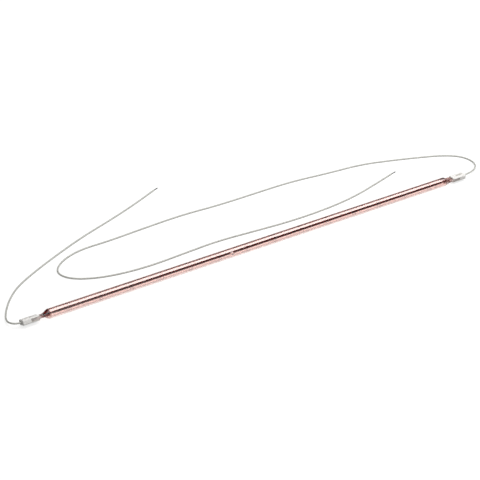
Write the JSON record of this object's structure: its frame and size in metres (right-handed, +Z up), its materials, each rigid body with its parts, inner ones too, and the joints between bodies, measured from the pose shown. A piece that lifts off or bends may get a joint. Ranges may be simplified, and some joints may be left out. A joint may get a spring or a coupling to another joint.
{
  "type": "quartz heating tube",
  "caption": "Straight quartz infrared heating lamp with a red-coated tube, a slotted ceramic cap on each pinched end and a flying lead from each cap.",
  "frame": {"origin": "on the surface that the tube lies on, below the middle of the straight tube", "axes": "+X along the tube towards the end with the long lead, +Y towards the side where the leads lie, +Z up"},
  "size_m": [0.6105, 0.1879, 0.01],
  "materials": {
    "ruby_quartz": "polished, with a red heat-ray coat",
    "tungsten": "drawn wire",
    "molybdenum": "rolled",
    "tinned_copper": "stranded",
    "nickel": "satin",
    "steatite": "unglazed",
    "cement": "rough",
    "lead_sleeve": "satin"
  },
  "bodies": {
    "root": {"quartz_envelope": "ruby_quartz", "filament_coil": "tungsten", "filament_support_01": "tungsten", "filament_support_02": "tungsten", "filament_support_03": "tungsten", "filament_support_04": "tungsten", "filament_support_05": "tungsten", "filament_support_06": "tungsten", "filament_support_07": "tungsten", "filament_support_08": "tungsten", "filament_support_09": "tungsten", "filament_support_10": "tungsten", "filament_support_11": "tungsten", "filament_support_12": "tungsten", "filament_support_13": "tungsten", "filament_support_14": "tungsten", "short_end_sealing_foil": "molybdenum", "short_end_inner_rod": "tungsten", "short_end_outer_rod": "molybdenum", "short_lead_conductor_tail": "tinned_copper", "short_end_crimp": "nickel", "short_end_ceramic_cap": "steatite", "short_lead": "lead_sleeve", "short_lead_bare_end": "tinned_copper", "short_end_cement": "cement", "long_end_sealing_foil": "molybdenum", "long_end_inner_rod": "tungsten", "long_end_outer_rod": "molybdenum", "long_lead_conductor_tail": "tinned_copper", "long_end_crimp": "nickel", "long_end_ceramic_cap": "steatite", "long_lead": "lead_sleeve", "long_lead_bare_end": "tinned_copper", "long_end_cement": "cement"}
  },
  "joints": []
}
